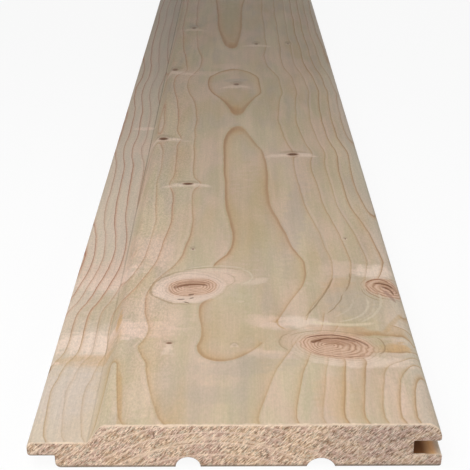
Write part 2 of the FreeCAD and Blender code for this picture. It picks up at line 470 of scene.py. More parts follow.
# %% Knots and how they push the rings aside
# The left knot, the right one and the one at the edge.
KNOTS = [
    {"at": (-19.2, -401.6), "parts": (-19.5, -400.7), "push": (14, 12),
     "core": (10.8, 7.2), "slit": 3.2, "heart": 0, "lean": 8, "rings": 5.4,
     "halo": (17.4, 14.4), "pale": 0.85, "dark": 0.9},
    {"at": (40.2, -449.6), "parts": (57, -446), "push": (16, 12),
     "core": (14, 8.6), "slit": 1.6, "heart": -3.5, "lean": -14, "rings": 7,
     "halo": (21, 14.5), "pale": 0.2, "dark": 1},
    {"at": (67.5, -403.5), "parts": (80, -402), "push": (9, 8),
     "core": (9.8, 7), "slit": 1.5, "heart": 2, "lean": -36, "rings": 3.4,
     "halo": (11.5, 10), "pale": 0.1, "dark": 1},
]

# A twig's pale streak lies below it by drop.
TWIG_PARTS = ("at", "core", "push", "halo", "drop", "dark")
TWIGS = [dict(zip(TWIG_PARTS, twig)) for twig in (
    ((-25.5, -287.2), (3.2, 1.7), (5.5, 5), (13.5, 3.2), 1.2, 1),
    ((-43, -218), (3.2, 2.6), (7, 6), (15, 4), 0.5, 1),
    ((33.5, -244.7), (3.6, 2.2), (5, 4), (16, 3.6), 0.5, 1),
    ((-26, -447), (1.3, 0.8), (2.5, 3), (2.6, 4), 3.4, 0.75),
    ((-43.5, -74.5), (2.4, 3.2), (6, 8), (14, 5), 7, 0.6),
    ((1.1, -110.7), (2.2, 2.8), (3, 4), (11.5, 4), 4.5, 0.55),
    ((16.9, -4.5), (1.6, 3), (3, 4), (12.5, 3.6), 5, 0.5),
    ((-34.5, 46.5), (1.8, 3.6), (3.5, 5), (11, 4.4), 5, 0.5),
    ((42, -4), (1.2, 2.6), (2, 3), (2, 2.5), 0, 0.4),
    ((0, -449), (0.8, 0.9), (1, 1), (1.8, 1.6), -0.5, 0.1),
    ((-20, -365), (0.7, 1), (1, 1), (1.2, 1.4), 0, 0.6),
    ((53, -355), (0.5, 0.8), (1, 1), (1, 1.2), 0, 0.8),
    ((22, 236), (3.4, 3), (8, 9), (14, 5), 2, 0.9),
    ((-30, 318), (3, 2.4), (7, 8), (13, 4.5), 2, 0.9),
    ((48, 402), (2.4, 2.2), (5, 6), (11, 4), 1.5, 0.8),
)]

# Where the fibre swerves beside the knots: the place, its half widths and the shift across.
NUDGES = [
    ((-8, -388), (9, 14), -4),
    ((-32, -362), (14, 26), -6),
    ((-42, -428), (12, 20), -6),
    ((-36, -448), (8, 14), -3),
    ((-46, -451), (8, 10), -4),
    ((-38, -498), (12, 22), -0.8),
    ((-50, -426), (9, 20), -4),
    ((44, -424), (14, 11), -6.5),
    ((42, -262), (14, 26), -3.5),
    ((60, -310), (14, 70), -3.5),
    ((30, -498), (45, 25), -3),
]


def squared_reach(across, along, wide, long):
    """How far a point is from a middle, squared, with 1 on the ellipse of these half widths."""
    return (across / wide) ** 2 + (along / long) ** 2


def ellipse(middle, half_widths):
    """A middle and its half widths as the inputs of a group."""
    return {"at x": middle[0], "at y": middle[1], "wide": half_widths[0], "long": half_widths[1]}


def reach_on_face(place, middle, half_widths):
    """The squared reach from one middle on the face."""
    flat = place["flat"]
    return squared_reach(flat["x"] - middle[0], flat["y"] - middle[1], *half_widths)


def from_middle(given):
    """How far across and along a point is from the middle of its knot, patch or stroke."""
    return given["x"] - given["at x"], given["y"] - given["at y"]


def from_leaning_middle(given):
    """The same for one that leans: how far along its width and along its height."""
    across, along = from_middle(given)
    cosine = given["lean"].math("COSINE")
    sine = given["lean"].math("SINE")
    return across * cosine + along * sine, along * cosine - across * sine


def fill_push(recipe, given):
    """How far a branch pushes the rings aside: all the way beside it, less further off."""
    across, along = from_middle(given)
    reach = squared_reach(across, along, given["wide"], given["long"])
    share = 1 / reach.math("MAXIMUM", 1)
    local = (reach * -0.08).math("EXPONENT")
    return across * (share * local)


push_group = make_group("rings_part", "x, y, at x, at y, wide, long", fill_push)


def ring_age(recipe, place):
    """How many rings a point is from the ring that just touches the face."""
    here = place["here"]
    wander = (recipe.noise(here, (26, 85, 26), detail=1) - 0.5) * WANDER
    tremble = (recipe.noise(here, (7, 16, 7)) - 0.5) * TREMBLE
    push = 0.0
    for knot in KNOTS + TWIGS:
        parting = ellipse(knot.get("parts", knot["at"]), knot["push"])
        push += recipe.use(push_group, **place["flat"], **parting)
    for middle, half_widths, shift in NUDGES:
        reach = reach_on_face(place, middle, half_widths)
        push += (reach * -1.0).math("EXPONENT") * shift
    push *= place["depth"] / FACE_RING
    straight = place["x"] - place["sideways"] - push
    across = straight + (wander + tremble)
    radius = squared_reach(across, place["depth"], 1, 1).math("SQRT")
    outside = radius - FACE_RING
    crowding = 1.0 + outside * RING_CROWDING
    return outside / RING_GAP * crowding


# %% [markdown]
# Planed spruce is a grey cream, greener in some patches and pinker in others. Each ring
# ends in a thin brown line, sharp on its bark side and glowing softly on its pith side.
# Some years leave a strong line and some a faint one, so each ring draws its own strength.

# %% Planed wood
CREAM = srgb(207, 189, 161)
SAND = srgb(196, 172, 141)
SAGE = srgb(189, 177, 148)
BLUSH = srgb(213, 186, 166)
MAUVE = srgb(187, 170, 156)
PALE_TONGUE = srgb(220, 205, 189)
PALE_NOSE = srgb(206, 196, 180)
LATE_GLOW = srgb(193, 157, 113)
LATE_LINE = srgb(160, 124, 84)
LATE_RED = srgb(170, 116, 96)
GLOW_RED = srgb(200, 152, 126)
BAND_PALE = srgb(236, 215, 198)
BAND_PINK = srgb(226, 199, 181)


def wood_tint(recipe, place):
    """The colour of the wood between its ring lines."""
    here, x = place["here"], place["x"]
    patch = recipe.noise(here, (18, 90, 18), 3, detail=1)
    tint = recipe.mix(patch.fade(0.3, 0.7), CREAM, SAND)
    green = recipe.noise(here, (14, 70, 30), 11, detail=1)
    tint = tint.mix(green.fade(0.38, 0.7, 0, 0.65), SAGE)
    mauve = recipe.noise(here, (9, 45, 20), 17, detail=1)
    tint = tint.mix(mauve.fade(0.42, 0.72, 0, 0.5), MAUVE)
    pink = recipe.noise(here, (12, 40, 30), 23, detail=1)
    tint = tint.mix(pink.fade(0.44, 0.7, 0, 0.6), BLUSH)
    mottle = recipe.noise(here, (1.1, 2.6, 1.1), 5)
    tint = tint.mix(mottle.fade(0.5, 0.68, 0, 0.2), BLUSH)
    tint = tint.mix(mottle.fade(0.5, 0.34, 0, 0.2), SAGE)
    tint = tint.mix(x.fade(60, 68, 0, 0.5), PALE_NOSE)
    return tint.mix(x.fade(-48, -53, 0, 0.6), PALE_TONGUE)


def add_ring_lines(recipe, place, tint, age, squeezed):
    """Draw the end of each year over a tint, and say how far through its year a point grew."""
    x, y = place["x"], place["y"]
    phase = age.math("FRACT")
    ring = age.math("FLOOR")
    strength = 0.45 + recipe.chance(ring + 0.3) * 0.55
    uneven = recipe.noise(place["here"], (9, 60, 9), 7).fade(0.3, 0.6, 0.65, 1)
    uneven *= x.fade(12, -12, 0.9, 1.15)
    front = x.fade(-49, -53) * y.fade(-425, -450)
    uneven *= 1.0 - front * 0.45
    uneven *= squeezed.fade(0, 1, 1, 0.1)
    strength *= uneven
    width = 0.05 + ring.math("MAXIMUM", 0) * 0.009
    before = (1.0 - phase) / width
    reddish = x.fade(0, -50, 0.25, 0.9) * y.fade(-450, -400)
    late = recipe.mix(reddish, LATE_LINE, LATE_RED)
    broad = y.fade(-330, -440, 0.35, 1) * x.fade(48, 58, 1, 0.3)
    broad *= x.fade(-47, -53, 1, 0.4)
    summer = before.fade(9, 1, 0, 0.34) * (strength * broad)
    tint = tint.mix(summer, LATE_GLOW)
    glow = before.fade(3.6, 0.4, 0, 0.6)
    tint = tint.mix(glow * strength, recipe.mix(reddish, LATE_GLOW, GLOW_RED))
    line = before.fade(1.3, 0.35) * before.fade(0, 0.2, 0.3, 0.8)
    line *= y.fade(-440, -360, 0.75, 1)
    tint = tint.mix(line * strength, late)
    after = phase / width
    tint = tint.mix(after.fade(0.6, 0, 0, 0.25) * strength, late)
    pale = after.fade(0.5, 1) * after.fade(3.5, 1.2, 0, 0.3)
    return tint.mix(pale * strength, BAND_PINK), phase


# %% [markdown]
# Between the edge knot and the right one the rings are squeezed together, and turn down
# to the left on grey wood. The round tubes can't do that, so their lines fade out there,
# and single strokes further on take their place. They fade out in the pale wood beside
# the left and the right knot too.

# %% Squeezed rings
# Where the lines fade out: the middle and the half widths.
WITHOUT_LINES = [
    ((54, -419), (17, 21)),
    ((-10, -392.5), (17, 10)),
    ((-5.5, -403), (9, 10.5)),
    ((15, -440), (7, 8.5)),
    ((26, -438), (9, 9)),
    ((-49.2, -338), (5.4, 30)),
]


def squeezed_rings(place):
    """1 where the rings are squeezed between the knots, or hidden by pale wood beside them,
    or only graze the bevel."""
    hidden = 0.0
    for middle, half_widths in WITHOUT_LINES:
        reach = reach_on_face(place, middle, half_widths)
        hidden = reach.fade(1.15, 0.8).math("MAXIMUM", hidden)
    return hidden


# %% [markdown]
# Fibre shows twice: as long fine streaks, and as short flecks where the planer's knives
# lifted it. The flecks are woolly on the moulded edges, where the cutters met the grain
# at a slant. Both are made as a height, which darkens the hollows and also feeds the bump.

# %% Fibre
def fibre(recipe, place):
    """Height of the fibre, about 0, and the factor near 1 by which it shades the colour."""
    here, x = place["here"], place["x"]
    streak = recipe.noise(here, (0.45, 22, 0.45), detail=3) - 0.5
    band = recipe.noise(here, (2.2, 130, 2.2), detail=1) - 0.5
    fleck = recipe.noise(here, (0.7, 1.5, 0.7), roughness=0.7) - 0.5
    woolly = recipe.noise(here, (14, 60, 14), 9)
    left = (x + woolly * 24).fade(-4, -26, 0, 0.5)
    left *= x.fade(-48, -53, 1, 0.6)
    left *= place["y"].fade(-480, -420, 0.45, 1)
    right = (x - woolly * 20).fade(38, 58, 0, 0.16)
    share = 0.28 + (left + right)
    height = streak * 0.18 + fleck * share
    return height, 1.0 + (height + band * 0.14)


# %% [markdown]
# Round the branches the fibre dips and rises, so light falls into it or glances off: pale
# bands run across the board beside each knot, with warmer or greyer places among them.
# Each is one soft ellipse with a ragged edge, laid on one by one.

# %% Bands and patches round the branches
PATCH_ORANGE = srgb(203, 158, 100)
PATCH_TAN = srgb(202, 166, 132)
PATCH_GREY = srgb(177, 164, 148)
PATCH_OLIVE = srgb(180, 163, 126)
PATCH_DARK = srgb(112, 82, 64)
SQUEEZED_GREY = srgb(188, 172, 154)
TONGUE_GREY = srgb(212, 198, 186)

# The patches of each colour: the middle, the half widths, how many degrees it leans, how
# strong it is, and how firm its rim is, from 0 for soft to 1 for firm.
PATCHES = {
    BAND_PALE: [
        ((-64, -437), (30, 11), 0, 0.9, 0),
        ((-64, -386), (26, 9), 0, 0.7, 0),
        ((-62.5, -181.5), (10, 3.6), 0, 0.8, 0),
        ((-79, -451.5), (2.6, 1), 0, 0.9, 0.3),
        ((9, -397), (8, 3), 20, 0.35, 0),
        ((2.5, -414.5), (1.8, 1), 10, 0.35, 0),
        ((29, -432.5), (15, 6), -16, 0.6, 0),
        ((49, -461), (24, 5), -4, 0.6, 0),
        ((64.5, -388.5), (12, 8), -8, 0.8, 0),
    ],
    BAND_PINK: [
        ((-38, -436), (20, 8), 0, 0.75, 0),
        ((-64, -378), (26, 18), 0, 0.6, 0),
        ((-40, -366), (12, 22), 20, 0.45, 0),
        ((-60, -215), (12, 16), 0, 0.4, 0),
        ((-39, -422), (6, 22), 8, 0.45, 0),
        ((-9.5, -392.5), (17, 9.5), -4, 0.7, 0.3),
        ((-25, -430), (10, 14), 0, 0.3, 0),
        ((-33, -480), (9, 22), -16, 0.3, 0),
        ((14, -431.5), (13, 7), -14, 0.75, 0),
        ((14, -455), (14, 4), -10, 0.5, 0),
        ((56, -484), (6, 18), -4, 0.35, 0),
        ((48, -385), (12, 9), 0, 0.4, 0),
        ((-22, -84), (18, 7), 0, 0.4, 0),
        ((-6, -66), (14, 8), 0, 0.3, 0),
    ],
    PATCH_ORANGE: [
        ((-64, -450), (18, 5.5), 0, 0.36, 0),
        ((-49.8, -428), (2.8, 9.5), 0, 0.6, 0),
        ((63, -451), (8, 4.5), 0, 0.6, 0),
        ((36, -484), (9, 16), 0, 0.16, 0),
        ((1.5, -204), (6, 9), 0, 0.35, 0),
        ((0.8, -165), (4.5, 11), 0, 0.4, 0),
        ((-2.5, -8), (4.5, 11), 0, 0.4, 0),
    ],
    PATCH_OLIVE: [
        ((-64, -410), (14, 16), 0, 0.4, 0),
        ((0, -430), (12, 22), 0, 0.3, 0),
        ((57, -446), (7, 9), 15, 0.6, 0),
        ((38, -412), (9, 15), 12, 0.25, 0),
        ((30, -386), (10, 22), -12, 0.3, 0),
        ((6, -330), (12, 80), -2, 0.35, 0),
        ((0.5, -140), (14, 24), 0, 0.3, 0),
        ((-3.8, 80), (12, 100), 0, 0.55, 0),
    ],
    TONGUE_GREY: [
        ((-68, -472), (15, 24), 0, 0.6, 0),
    ],
    PATCH_DARK: [
        ((-80.6, -456), (1, 3.6), 0, 0.8, 0.3),
    ],
    PATCH_GREY: [
        ((3, -463), (22, 9), 14, 0.4, 0),
        ((-8, -482), (15, 7), 0, 0.3, 0),
        ((1, -101), (10, 6), 0, 0.5, 0),
        ((-33, 55), (8, 9), 0, 0.4, 0),
    ],
    PATCH_TAN: [
        ((21, -443), (7, 9), 0, 0.35, 0),
        ((44, -438.5), (17, 5), -8, 0.6, 0),
        ((46, -402), (9, 9), 12, 0.45, 0),
    ],
    SQUEEZED_GREY: [
        ((51, -415), (14, 17), 20, 0.7, 0),
    ],
    MAUVE: [
        ((30, -330), (7, 70), -8, 0.5, 0),
    ],
}

# Small dark cracks round the left knot.
CRACKS = {
    PATCH_DARK: [
        ((-23.5, -412.3), (1.9, 0.5), 4, 0.75, 0.4),
        ((-21, -415), (1.7, 0.5), -28, 0.75, 0.4),
        ((-19.3, -408.3), (1.3, 0.7), 6, 0.75, 0.4),
        ((-18.9, -411.2), (1.1, 0.5), 24, 0.75, 0.4),
    ],
}


def fill_patch(recipe, given):
    """How strongly a point belongs to a patch, or to another of its colour if that is more."""
    level, upright = from_leaning_middle(given)
    reach = squared_reach(level, upright, given["wide"], given["long"])
    ragged = reach + given["swirl"] * (1.9 - given["firm"])
    share = ragged.fade(1.1, 0.1 + given["firm"]) * given["strength"]
    return share.math("MAXIMUM", given["others"])


patch_group = make_group("patch", "x, y, at x, at y, wide, long, lean, strength, firm, swirl, others",
                         fill_patch)


def add_patches(recipe, place, colour, swirl, patches):
    """Lay the patches over a colour, all those of one colour together."""
    for tint, same in patches.items():
        share = 0.0
        for middle, half_widths, lean, strength, firm in same:
            share = recipe.use(patch_group, **place["flat"], **ellipse(middle, half_widths),
                               lean=math.radians(lean), strength=strength, firm=firm, swirl=swirl,
                               others=share)
        colour = colour.mix(share, tint)
    return colour


# %% [markdown]
# A knot is a branch cut across. Its own rings are ellipses, darkest on the upper side,
# where the branch pressed against the stem, and they fade out into the pink wood that
# flows round it. A twig is the same thing small: a dark heart in a pale streak.

# %% Knots
KNOT_WOOD = srgb(209, 173, 148)
KNOT_RING = srgb(150, 106, 76)
KNOT_DARK = srgb(110, 66, 38)
KNOT_HALO = srgb(226, 202, 185)
KNOT_EDGE = srgb(152, 126, 94)
TWIG_HEART = srgb(102, 68, 44)
TWIG_SMUDGE = srgb(146, 126, 106)


def fill_twig(recipe, given):
    """A pale streak that droops to both sides, and the twig's dark heart over it."""
    across, along = from_middle(given)
    droop = (across / given["halo wide"]) ** 2
    lower = along + given["drop"] + droop * given["halo long"]
    halo = squared_reach(across, lower, given["halo wide"], given["halo long"])
    halo += given["swirl"] * 2.2
    heart = squared_reach(across, along, given["wide"], given["long"])
    heart += given["swirl"] * 0.9
    above = along - given["long"] * 1.2
    smudge = squared_reach(across, above, given["wide"] * 2.6, given["long"] * 2)
    colour = given["colour"].mix(smudge.fade(1.1, 0.1, 0, 0.35), TWIG_SMUDGE)
    light = 0.25 + given["dark"] * 0.4
    colour = colour.mix(halo.fade(1.3, 0) * light, BAND_PALE)
    around = heart.fade(1.5, 0.6, 0, 0.6) * given["dark"]
    colour = colour.mix(around, KNOT_RING)
    core = heart.fade(0.9, 0.25, 0, 0.95) * given["dark"]
    return colour.mix(core, TWIG_HEART)


twig_group = make_group("twig", "x, y, at x, at y, wide, long, halo wide, halo long, drop, dark, swirl",
                        fill_twig, colour=True)


def fill_knot(recipe, given):
    """A pale halo with a thin rim, faint ripples, and the knot's own rings over them."""
    level, upright = from_leaning_middle(given)
    swirl = given["swirl"]
    bow = ((level + 1.5) / given["halo wide"]) ** 2
    rise = abs(upright) / given["halo long"]
    halo = bow + rise ** 1.5
    halo += swirl * 0.3
    plain = squared_reach(level, upright, given["wide"], given["long"]).math("SQRT")
    inside = (1 - plain).math("MAXIMUM", 0)
    off = abs(level - given["heart"] * inside)
    beyond = (off - given["slit"]).math("MAXIMUM", 0)
    wide = given["wide"] - given["slit"]
    core = squared_reach(beyond, upright, wide, given["long"])
    core = core.math("SQRT") + swirl * 0.17
    upper = (upright / given["long"]).fade(-0.05, 0.3)

    pale = halo.fade(1.1, 0.75) * given["pale"]
    colour = given["colour"].mix(pale, KNOT_HALO)
    rim = halo.fade(0.94, 1.02) * halo.fade(1.16, 1.04)
    left_end = level.fade(4, -12, 0.15, 0.6)
    colour = colour.mix(rim * left_end * given["pale"], KNOT_EDGE)
    second = halo.fade(0.72, 0.8) * halo.fade(0.9, 0.82)
    second *= upper * 0.3
    colour = colour.mix(second * given["pale"], KNOT_EDGE)

    turns = core * (given["rings"] * (2 * math.pi))
    wave = (turns + swirl * 2.5).math("SINE")
    patchy = (level * 0.9 + turns).math("SINE")
    patchy = patchy.fade(-1, 0.8, 0.45, 1)
    ripple = wave.fade(0.2, 1) * core.fade(1.75, 1, 0, 0.28)
    colour = colour.mix(ripple, KNOT_RING)
    colour = colour.mix(core.fade(1.35, 0.9, 0, 0.45), KNOT_WOOD)
    body = colour.mix(0.7, KNOT_WOOD)
    body = body.mix(wave.fade(0, 1, 0, 0.6) * patchy, KNOT_RING)
    body = body.mix(wave.fade(-0.5, -1, 0, 0.25), KNOT_HALO)
    shaded = core.fade(0.95, 0.3, 0, 0.5) * upper
    body = body.mix(shaded * given["dark"], KNOT_RING)
    return colour.mix(core.fade(1.1, 0.95), body)


knot_group = make_group("knot", "x, y, at x, at y, wide, long, slit, halo wide, halo long, pale, "
                        "lean, heart, rings, dark, swirl", fill_knot, colour=True)


def add_knots(recipe, place, colour, swirl):
    """Lay all the twigs and knots over the planed wood."""
    for knot in TWIGS + KNOTS:
        sizes = ellipse(knot["at"], knot["core"])
        sizes |= {"halo wide": knot["halo"][0], "halo long": knot["halo"][1]}
        inputs = {"colour": colour, "swirl": swirl, "dark": knot["dark"]} | place["flat"] | sizes
        if knot in TWIGS:
            colour = recipe.use(twig_group, drop=knot["drop"], **inputs)
        else:
            own = {part: knot[part] for part in ("slit", "pale", "heart", "rings")}
            colour = recipe.use(knot_group, lean=math.radians(knot["lean"]), **own, **inputs)
    return add_patches(recipe, place, colour, swirl, CRACKS)


# %% [markdown]
# The darkest and palest lines of the knots, and the squeezed rings between them, are too
# uneven for one rule. Each is a stroke of its own: part of a circle through three points,
# tapering to both ends.

# %% Strokes
LINE_BROWN = srgb(152, 126, 92)
LINE_PALE = srgb(219, 207, 184)
LINE_CREAM = srgb(226, 209, 180)
LINE_ORANGE = srgb(186, 148, 98)
LINE_PURPLE = srgb(146, 110, 100)
FULL_STRETCH = 0.6

# The strokes of each colour: where one starts, where it passes and where it ends, half its
# thickness and its strength.
STROKES = {
    KNOT_DARK: [
        ((-27.2, -402.6), (-20, -399.3), (-11.2, -400.9), 0.95, 0.75),
        ((-28, -403.2), (-24.6, -400.8), (-20, -400), 1.5, 0.5),
        ((26.4, -445), (37, -441.6), (52.4, -449.8), 0.55, 0.85),
        ((44, -443.2), (49, -446), (53, -450.6), 0.7, 0.55),
        ((31, -446.9), (39, -443.9), (47.6, -446.6), 0.6, 0.85),
        ((41.5, -444.4), (45.5, -445.4), (48.6, -447.6), 0.75, 0.55),
        ((30.2, -447.3), (32.4, -446), (35, -445.2), 1.2, 0.8),
        ((61.4, -399), (66.6, -400), (71, -404.6), 0.9, 0.8),
        ((64.6, -401.6), (68, -404.4), (70.4, -410), 0.9, 0.75),
    ],
    KNOT_RING: [
        ((-27.8, -399.4), (-19.5, -396.8), (-10.8, -399.2), 0.45, 0.7),
        ((-29.5, -402.5), (-26.5, -407.5), (-18, -408.6), 0.4, 0.5),
        ((34.6, -449.8), (39, -447.8), (43.6, -450.6), 0.45, 0.7),
        ((28, -452.8), (40, -457.5), (54.5, -455.4), 0.5, 0.45),
        ((58.2, -400), (63.6, -395.9), (69.6, -399.6), 0.6, 0.9),
        ((58, -402.4), (60.6, -409), (66.6, -413.2), 0.4, 0.6),
        ((59.6, -400.6), (62.2, -406.2), (67.4, -411.8), 0.4, 0.5),
    ],
    LINE_BROWN: [
        ((-27, -387.5), (-12, -383.6), (4, -386.8), 0.45, 0.45),
        ((-8, -389), (-0.6, -393.6), (-4.6, -401.5), 0.45, 0.3),
        ((55.5, -442.5), (59.3, -449), (54.3, -456.6), 0.5, 0.6),
        ((24, -439.8), (17.8, -446.5), (23, -453), 0.5, 0.35),
        ((20, -442.6), (35, -438.2), (54, -443.8), 0.45, 0.4),
        ((56.2, -403), (58.4, -410.3), (64.4, -414.6), 0.4, 0.5),
        ((45.2, -391), (40.4, -405.5), (28.6, -428.8), 0.6, 0.75),
        ((47.8, -407), (44.4, -416.9), (38, -425.6), 0.45, 0.65),
        ((52.2, -388), (51.6, -397), (48.6, -407), 0.55, 0.6),
    ],
    LINE_PALE: [
        ((-24, -386), (-9, -382), (7, -386.4), 0.5, 0.45),
        ((-22, -390), (-8, -386.6), (3, -390.6), 0.4, 0.5),
        ((1, -385.4), (7.6, -391.5), (1.5, -399.4), 0.6, 0.5),
        ((51.6, -410), (49, -420.5), (40.5, -427.8), 0.7, 0.2),
        ((56.6, -409), (53.8, -425.3), (40.5, -431.4), 0.8, 0.42),
        ((59.8, -411), (57.6, -424.5), (49, -431.4), 0.6, 0.16),
        ((63, -405), (60.8, -422.5), (50.5, -432.6), 0.85, 0.42),
    ],
    LINE_PURPLE: [
        ((65.4, -405), (68, -410.2), (69.8, -416.6), 1.3, 0.55),
    ],
    LINE_CREAM: [
        ((29, -430), (44, -433.6), (60, -432), 1.5, 0.55),
    ],
    LINE_ORANGE: [
        ((72, -423.5), (66.4, -431), (60, -441.5), 1.8, 0.35),
        ((18.6, -428), (17.6, -432.5), (21.4, -437), 0.6, 0.6),
        ((-43.2, -464), (-40.8, -480), (-38.6, -506), 1.2, 0.4),
    ],
}


def bend(start, passes, end):
    """The circle through three points: its middle and radius, the way to the arc's middle
    and how far the arc reaches to each side of it."""
    start, passes, end = Vector(start), Vector(passes), Vector(end)
    turn = 2 * (passes - start).cross(end - start)
    far, near = (end - start).length_squared, (passes - start).length_squared
    over, back = end - start, passes - start
    middle = start + Vector((over.y * near - back.y * far, back.x * far - over.x * near)) / turn
    way = ((start - middle).normalized() + (end - middle).normalized()).normalized()
    if way.dot(passes - middle) < 0:
        way.negate()
    return middle, (start - middle).length, way, way.dot((start - middle).normalized())


def fill_stroke(recipe, given):
    """How strongly a point belongs to a stroke, or to another of its colour."""
    across, along = from_middle(given)
    reach = squared_reach(across, along, 1, 1).math("SQRT")
    ahead = across * given["way x"] + along * given["way y"]
    window = (ahead / reach).fade(given["end"], given["full"])
    off = abs(reach - given["radius"] + given["swirl"])
    line = (off / (given["thick"] * window)).fade(1, 0.3)
    share = line * window * given["strength"]
    return share.math("MAXIMUM", given["others"])


stroke_group = make_group("stroke", "x, y, at x, at y, radius, way x, way y, end, full, thick, "
                          "strength, swirl, others", fill_stroke)


def add_strokes(recipe, place, colour, swirl):
    """Lay the strokes over a colour, all those of one colour together."""
    for tint, same in STROKES.items():
        share = 0.0
        for start, passes, end, thick, strength in same:
            middle, radius, way, reach = bend(start, passes, end)
            full = reach + (1 - reach) * FULL_STRETCH
            way_and_ends = {"way x": way.x, "way y": way.y, "end": reach, "full": full}
            share = recipe.use(stroke_group, **place["flat"], **{"at x": middle.x, "at y": middle.y},
                               **way_and_ends, radius=radius, thick=thick, strength=strength,
                               swirl=swirl, others=share)
        colour = colour.mix(share, tint)
    return colour


# %% [markdown]
# The sawn end is rough: the blade tears the soft part of each ring into slanting ridges
# and dark pits, and leaves the hard line of late wood smooth and pale. One year's line is
# broad enough to stand out as an arch of its own.

# %% End grain
# The first colour is pale end grain, and also the painted highlight along the upper arrises of the ends.
END_PALE_AND_HIGHLIGHT = srgb(245, 222, 197)
END_MIDDLE = srgb(211, 181, 151)
END_ROSY = srgb(200, 167, 150)
END_GREY = srgb(186, 175, 154)
END_TORN = srgb(154, 118, 90)
END_DARK = srgb(104, 76, 56)
# Painted shade along the lower arrises.
ARRIS_SHADE = srgb(120, 111, 97)
END_SHADE = srgb(236, 238, 242)
ARCH_PALE = srgb(226, 201, 176)
SAW_SLANT = math.radians(46)
ARCH_MIDDLE = (-6.5, -36.2)
ARCH_RADIUS = 48.5


def end_grain(recipe, place, phase):
    """Colour and height of the sawn end."""
    here, x, z = place["here"], place["x"], place["z"]
    ridge = recipe.noise(here, (1.8, 40, 0.38), slant=-SAW_SLANT, roughness=0.68)
    pit = recipe.noise(here, (1.3, 40, 0.4), 13, slant=-SAW_SLANT, detail=1)
    blotch = recipe.noise(here, (7, 60, 5), detail=3)
    hue = recipe.noise(here, (1.6, 60, 0.8), 19, slant=-SAW_SLANT, detail=1)
    colour = recipe.mix(blotch.fade(0.4, 0.62), END_MIDDLE, END_ROSY)
    colour = colour.mix(hue.fade(0.5, 0.64, 0, 0.8), END_GREY)
    summer = phase.fade(0.62, 0.86) * phase.fade(1, 0.97)
    colour = colour.mix(summer * 0.45, END_ROSY)
    colour = colour.mix(ridge.fade(0.5, 0.64, 0, 0.9), END_PALE_AND_HIGHLIGHT)
    soft = phase.fade(0.85, 0.6, 0.45, 1)
    torn = pit.fade(0.44, 0.32, 0, 0.75) * soft
    colour = colour.mix(ridge.fade(0.48, 0.38, 0, 0.8) * soft, END_TORN)
    colour = colour.mix(torn, END_DARK)
    late = phase.fade(0.84, 0.92) * phase.fade(1, 0.97)
    late *= x.fade(25, -15, 0.12, 0.4)
    arch = squared_reach(x - ARCH_MIDDLE[0], z - ARCH_MIDDLE[1], ARCH_RADIUS, ARCH_RADIUS)
    arch = abs(arch - 1).fade(0.036, 0.015)
    arch *= x.fade(24, 8, 0, 0.55)
    colour = colour.mix(arch, ARCH_PALE)
    colour = colour.mix(late, END_PALE_AND_HIGHLIGHT)
    # Painted shade: a dull line along the lower arrises of the end.
    bottom_shade = z.fade(1.3, 0.6) + x.fade(-62.8, -63.1) * z.fade(6, 5.5)
    colour = colour.mix(bottom_shade.math("MINIMUM", 1) * 0.75, ARRIS_SHADE)
    # Painted highlight: a pale ragged band along the top of the end.
    top_highlight = z + recipe.noise(here, (2.5, 60, 1.5), 29) * 2.2
    colour = colour.mix(top_highlight.fade(18, 19, 0, 0.6), END_PALE_AND_HIGHLIGHT)
    colour = colour.mix(x.fade(20, 52), END_SHADE, blend="MULTIPLY")
    return colour, ridge + pit * 0.7


# %% [markdown]
# A few things sit over both kinds of surface. Along each upper arris of the ends runs a pale woolly
# fringe of painted highlight, and along each lower arris a dull line of painted shade. The groove's
# inside is painted with shade, brown deep in and orange nearer its mouth, the faces that turn sideways
# get a grey painted shade, and the corner at the bevel's foot gets a thin line of painted shade.

# %% Put the wood together
# Painted shade inside the groove, brown deep in and orange nearer its mouth.
GROOVE_DEEP_SHADE = srgb(98, 58, 26)
GROOVE_HALF_SHADE = srgb(214, 162, 108)
# Painted shade for the corner at the bevel's foot.
CORNER_SHADE = srgb(128, 104, 84)
# Painted shade for faces that turn sideways.
SIDE_SHADE = srgb(150, 146, 126)
CORNER_SHADE_REACH = 0.55
WOOD_ROUGHNESS = 0.6
WOOD_SHINE = 0.16
RELIEF_DEPTH = 0.3 * MM


def shade_groove(recipe, place, colour):
    """Painted shade in the groove: brown on its floor, turning to orange towards its mouth."""
    x, z = place["x"], place["z"]
    floor, low_side, high_side = GROOVE_FLOOR / MM, GROOVE_LOW / MM, GROOVE_HIGH / MM
    within = z.fade(low_side - 0.3, low_side - 0.1) * z.fade(high_side + 0.3, high_side + 0.1)
    within *= x.fade(floor - 0.6, floor - 0.3)
    half_shade = within * x.fade(high[0] / MM - 0.5, floor + 7, 0, 0.8)
    colour = colour.mix(half_shade, GROOVE_HALF_SHADE)
    deep_shade = within * x.fade(floor + 7.5, floor + 3, 0, 0.95)
    return colour.mix(deep_shade, GROOVE_DEEP_SHADE)


def shade_corner(recipe, place, colour):
    """Painted shade in the corner at the foot of the bevel, less of it near the front end."""
    corner = squared_reach(place["x"] - BEVEL_FOOT / MM, place["z"] - TONGUE_TOP / MM,
                           CORNER_SHADE_REACH, CORNER_SHADE_REACH)
    shading = 0.2 + recipe.noise(place["here"], (60, 25, 60), detail=3) * 0.7
    shading *= place["y"].fade(-430, -250, 0.35, 1)
    return colour.mix(corner.fade(1, 0.2) * shading, CORNER_SHADE)


